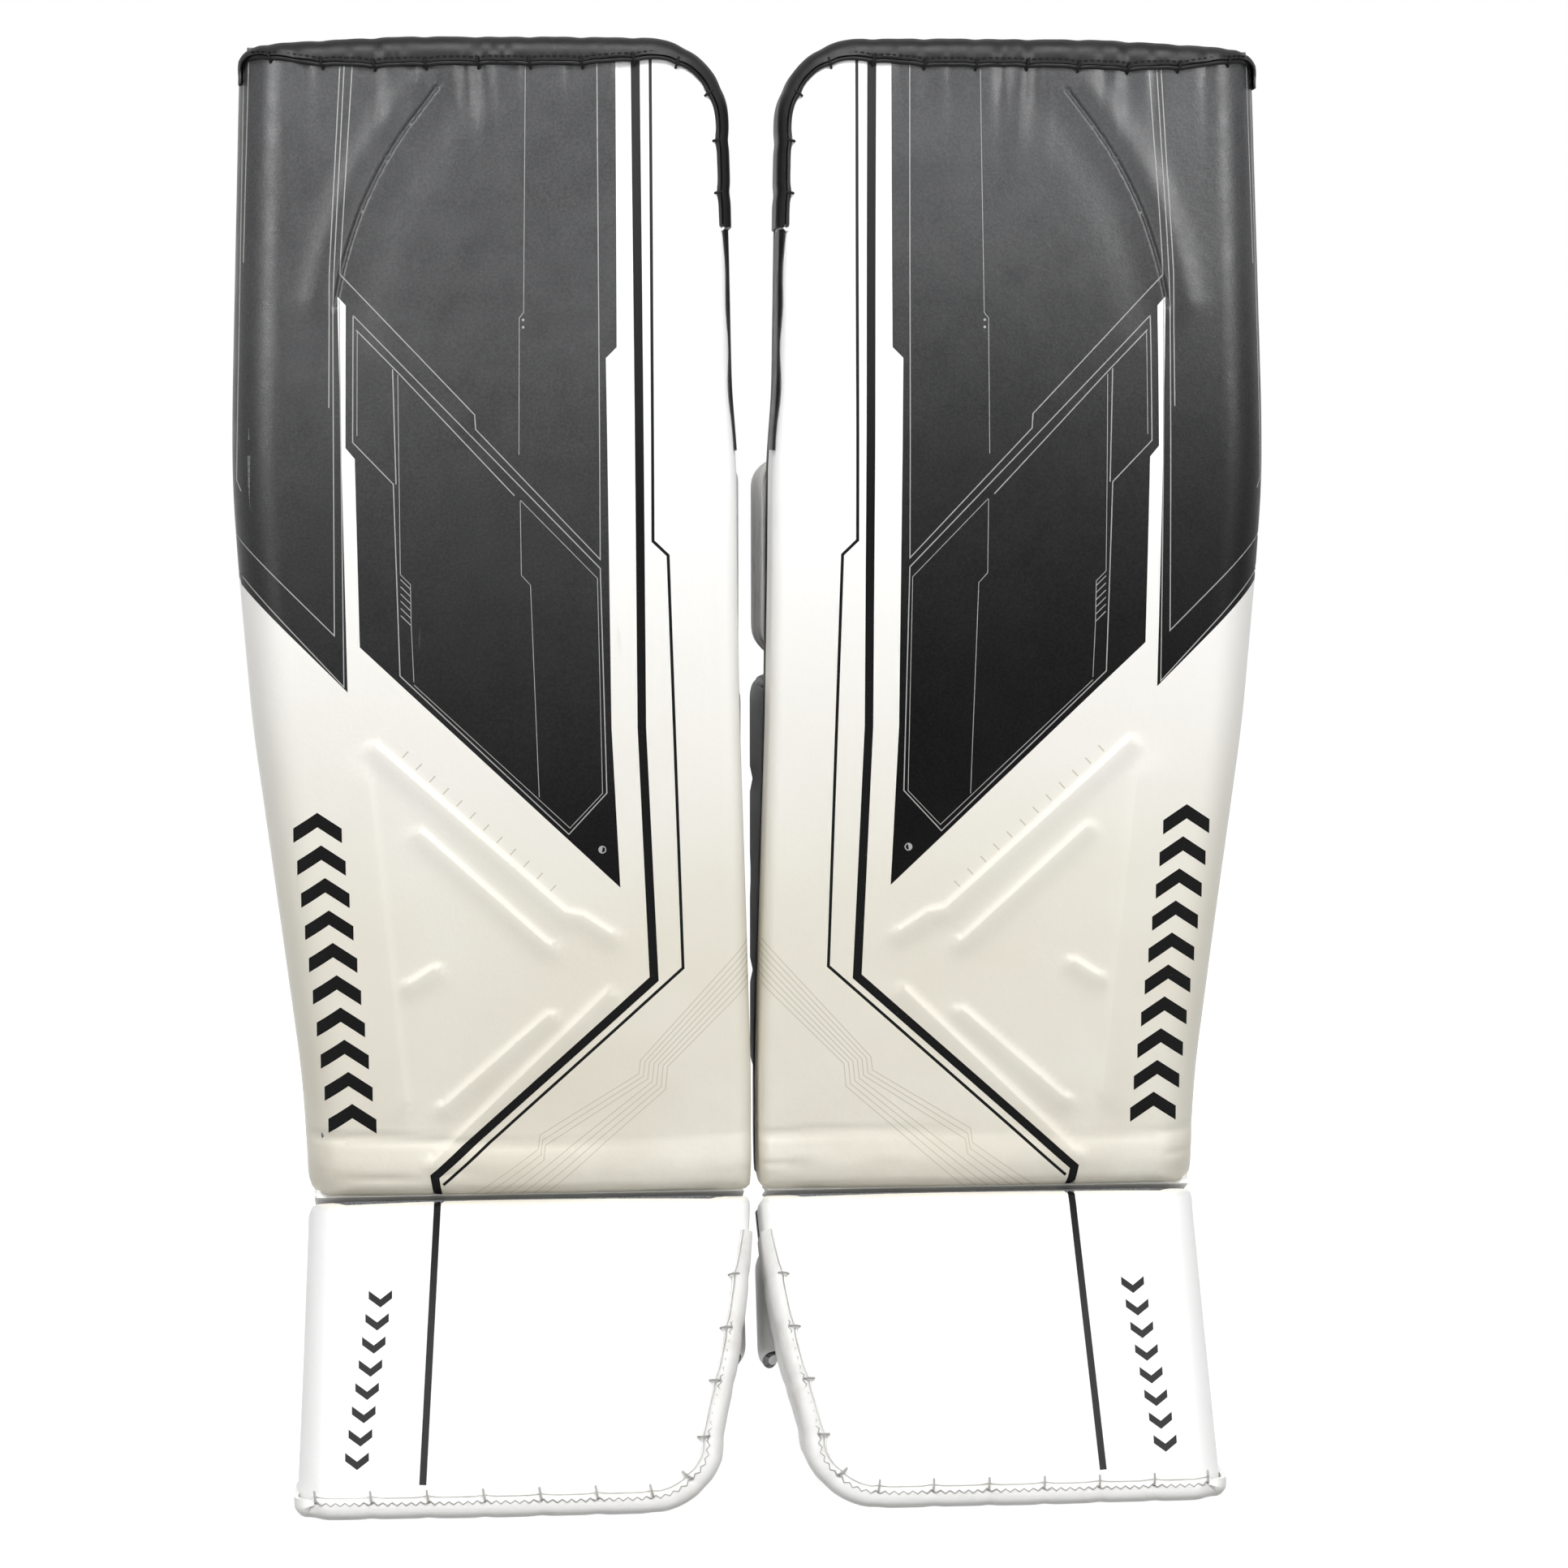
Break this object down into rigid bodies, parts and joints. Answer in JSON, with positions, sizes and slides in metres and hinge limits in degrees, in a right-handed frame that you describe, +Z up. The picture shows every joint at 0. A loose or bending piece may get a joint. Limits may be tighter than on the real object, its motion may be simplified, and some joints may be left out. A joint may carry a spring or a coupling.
{
  "type": "goalie leg pads",
  "caption": "Tall padded leg guards for an ice hockey goaltender, a matched pair with kicked boots, knee blocks, calf wings and closing straps.",
  "frame": {"origin": "on the ice, midway between the pads, under the middle of the shin cores' thickness", "axes": "+Z up along the shins, -Y where the faces look, +X towards the wearer's left"},
  "size_m": [0.578, 0.2377, 0.8117],
  "materials": {
    "skin": "smooth coated synthetic leather, semi-gloss, printed in black",
    "binding_black": "rolled black binding leather, satin",
    "binding_white": "white binding leather, satin",
    "foam": "closed-cell foam, matte",
    "sheet": "thin polyethylene sheet",
    "liner": "woven nylon liner, matte",
    "wing": "grey brushed lining over foam",
    "webbing": "woven nylon webbing with hook-and-loop"
  },
  "bodies": {
    "left_shin": {"left_shin_cover": "skin", "left_shin_front_foam": "foam", "left_shin_stiffener": "sheet", "left_shin_rear_foam": "foam", "left_shin_back_liner": "liner", "left_leg_cradle": "liner", "left_knee_cradle": "liner"},
    "left_thigh": {"left_thigh_cover": "skin", "left_thigh_foam": "foam", "left_thigh_stiffener": "sheet", "left_thigh_back_liner": "liner", "left_top_binding": "binding_black"},
    "left_boot": {"left_boot_cover": "skin", "left_boot_foam": "foam", "left_boot_back_liner": "liner", "left_boot_binding": "binding_white", "left_inner_boot_wing": "wing", "left_outer_boot_wing": "wing", "left_toe_bridge": "wing"},
    "left_knee_block": {"left_knee_block_base": "skin", "left_knee_block_middle": "skin", "left_knee_block_outer": "skin"},
    "left_outer_knee_wing": {"left_outer_knee_wing": "skin"},
    "left_knee_strap": {"left_knee_strap": "webbing"},
    "left_inner_calf_wing": {"left_inner_calf_wing": "wing"},
    "left_outer_calf_wing": {"left_outer_calf_wing": "wing"},
    "left_upper_calf_strap": {"left_upper_calf_strap": "webbing"},
    "left_lower_calf_strap": {"left_lower_calf_strap": "webbing"},
    "left_ankle_strap": {"left_ankle_strap": "webbing"},
    "left_toe_strap": {"left_toe_strap": "webbing"},
    "right_shin": {"right_shin_cover": "skin", "right_shin_front_foam": "foam", "right_shin_stiffener": "sheet", "right_shin_rear_foam": "foam", "right_shin_back_liner": "liner", "right_leg_cradle": "liner", "right_knee_cradle": "liner"},
    "right_thigh": {"right_thigh_cover": "skin", "right_thigh_foam": "foam", "right_thigh_stiffener": "sheet", "right_thigh_back_liner": "liner", "right_top_binding": "binding_black"},
    "right_boot": {"right_boot_cover": "skin", "right_boot_foam": "foam", "right_boot_back_liner": "liner", "right_boot_binding": "binding_white", "right_inner_boot_wing": "wing", "right_outer_boot_wing": "wing", "right_toe_bridge": "wing"},
    "right_knee_block": {"right_knee_block_base": "skin", "right_knee_block_middle": "skin", "right_knee_block_outer": "skin"},
    "right_outer_knee_wing": {"right_outer_knee_wing": "skin"},
    "right_knee_strap": {"right_knee_strap": "webbing"},
    "right_inner_calf_wing": {"right_inner_calf_wing": "wing"},
    "right_outer_calf_wing": {"right_outer_calf_wing": "wing"},
    "right_upper_calf_strap": {"right_upper_calf_strap": "webbing"},
    "right_lower_calf_strap": {"right_lower_calf_strap": "webbing"},
    "right_ankle_strap": {"right_ankle_strap": "webbing"},
    "right_toe_strap": {"right_toe_strap": "webbing"}
  },
  "joints": [
    {"name": "left_boot_flex", "type": "hinge", "parent": "left_shin", "child": "left_boot", "pos_m": [0.128, -0.0225, 0.168], "axis": [1, 0, 0], "range_deg": [-20, 20], "stiffness_Nm_per_rad": 15},
    {"name": "left_thigh_flex", "type": "hinge", "parent": "left_shin", "child": "left_thigh", "pos_m": [0.15, -0.0225, 0.585], "axis": [1, 0, 0], "range_deg": [-8, 20], "stiffness_Nm_per_rad": 20},
    {"name": "left_knee_block_float", "type": "hinge", "parent": "left_shin", "child": "left_knee_block", "pos_m": [0.09, 0.0235, 0.523], "axis": [0, 0, -1], "range_deg": [0, 6], "stiffness_Nm_per_rad": 4},
    {"name": "left_outer_knee_wing_fold", "type": "hinge", "parent": "left_shin", "child": "left_outer_knee_wing", "pos_m": [0.226, 0.0335, 0.521], "axis": [0, 0, -1], "range_deg": [0, 60], "stiffness_Nm_per_rad": 0.6},
    {"name": "left_knee_strap_open", "type": "hinge", "parent": "left_outer_knee_wing", "child": "left_knee_strap", "pos_m": [0.228, 0.1225, 0.529], "axis": [0, 0, -1], "range_deg": [0, 110]},
    {"name": "left_inner_calf_wing_fold", "type": "hinge", "parent": "left_shin", "child": "left_inner_calf_wing", "pos_m": [0.026, 0.0275, 0.333], "axis": [0, 0, -1], "range_deg": [0, 15], "stiffness_Nm_per_rad": 1},
    {"name": "left_outer_calf_wing_fold", "type": "hinge", "parent": "left_shin", "child": "left_outer_calf_wing", "pos_m": [0.216, 0.0315, 0.333], "axis": [0, 0, -1], "range_deg": [0, 60], "stiffness_Nm_per_rad": 0.8},
    {"name": "left_upper_calf_strap_open", "type": "hinge", "parent": "left_outer_calf_wing", "child": "left_upper_calf_strap", "pos_m": [0.202, 0.1355, 0.409], "axis": [0, 0, -1], "range_deg": [0, 110]},
    {"name": "left_lower_calf_strap_open", "type": "hinge", "parent": "left_outer_calf_wing", "child": "left_lower_calf_strap", "pos_m": [0.202, 0.1355, 0.269], "axis": [0, 0, -1], "range_deg": [0, 110]},
    {"name": "left_ankle_strap_open", "type": "hinge", "parent": "left_boot", "child": "left_ankle_strap", "pos_m": [0.218, 0.06942, 0.06225], "axis": [0, -0.4226, -0.9063], "range_deg": [0, 110]},
    {"name": "left_toe_strap_swing", "type": "hinge", "parent": "left_boot", "child": "left_toe_strap", "pos_m": [0.13, -0.01361, 0.016], "axis": [1, 0, 0], "range_deg": [0, 60]},
    {"name": "right_boot_flex", "type": "hinge", "parent": "right_shin", "child": "right_boot", "pos_m": [-0.128, -0.0225, 0.168], "axis": [1, 0, 0], "range_deg": [-20, 20], "stiffness_Nm_per_rad": 15},
    {"name": "right_thigh_flex", "type": "hinge", "parent": "right_shin", "child": "right_thigh", "pos_m": [-0.15, -0.0225, 0.585], "axis": [1, 0, 0], "range_deg": [-8, 20], "stiffness_Nm_per_rad": 20},
    {"name": "right_knee_block_float", "type": "hinge", "parent": "right_shin", "child": "right_knee_block", "pos_m": [-0.09, 0.0235, 0.523], "axis": [0, 0, 1], "range_deg": [0, 6], "stiffness_Nm_per_rad": 4},
    {"name": "right_outer_knee_wing_fold", "type": "hinge", "parent": "right_shin", "child": "right_outer_knee_wing", "pos_m": [-0.226, 0.0335, 0.521], "axis": [0, 0, 1], "range_deg": [0, 60], "stiffness_Nm_per_rad": 0.6},
    {"name": "right_knee_strap_open", "type": "hinge", "parent": "right_outer_knee_wing", "child": "right_knee_strap", "pos_m": [-0.228, 0.1225, 0.529], "axis": [0, 0, 1], "range_deg": [0, 110]},
    {"name": "right_inner_calf_wing_fold", "type": "hinge", "parent": "right_shin", "child": "right_inner_calf_wing", "pos_m": [-0.026, 0.0275, 0.333], "axis": [0, 0, 1], "range_deg": [0, 15], "stiffness_Nm_per_rad": 1},
    {"name": "right_outer_calf_wing_fold", "type": "hinge", "parent": "right_shin", "child": "right_outer_calf_wing", "pos_m": [-0.216, 0.0315, 0.333], "axis": [0, 0, 1], "range_deg": [0, 60], "stiffness_Nm_per_rad": 0.8},
    {"name": "right_upper_calf_strap_open", "type": "hinge", "parent": "right_outer_calf_wing", "child": "right_upper_calf_strap", "pos_m": [-0.202, 0.1355, 0.409], "axis": [0, 0, 1], "range_deg": [0, 110]},
    {"name": "right_lower_calf_strap_open", "type": "hinge", "parent": "right_outer_calf_wing", "child": "right_lower_calf_strap", "pos_m": [-0.202, 0.1355, 0.269], "axis": [0, 0, 1], "range_deg": [0, 110]},
    {"name": "right_ankle_strap_open", "type": "hinge", "parent": "right_boot", "child": "right_ankle_strap", "pos_m": [-0.218, 0.06942, 0.06225], "axis": [0, 0.4226, 0.9063], "range_deg": [0, 110]},
    {"name": "right_toe_strap_swing", "type": "hinge", "parent": "right_boot", "child": "right_toe_strap", "pos_m": [-0.13, -0.01361, 0.016], "axis": [1, 0, 0], "range_deg": [0, 60]},
    {"name": "pair_slide", "type": "slide", "parent": "left_shin", "child": "right_shin", "axis": [-1, 0, 0], "range_m": [0, 0.12]}
  ]
}
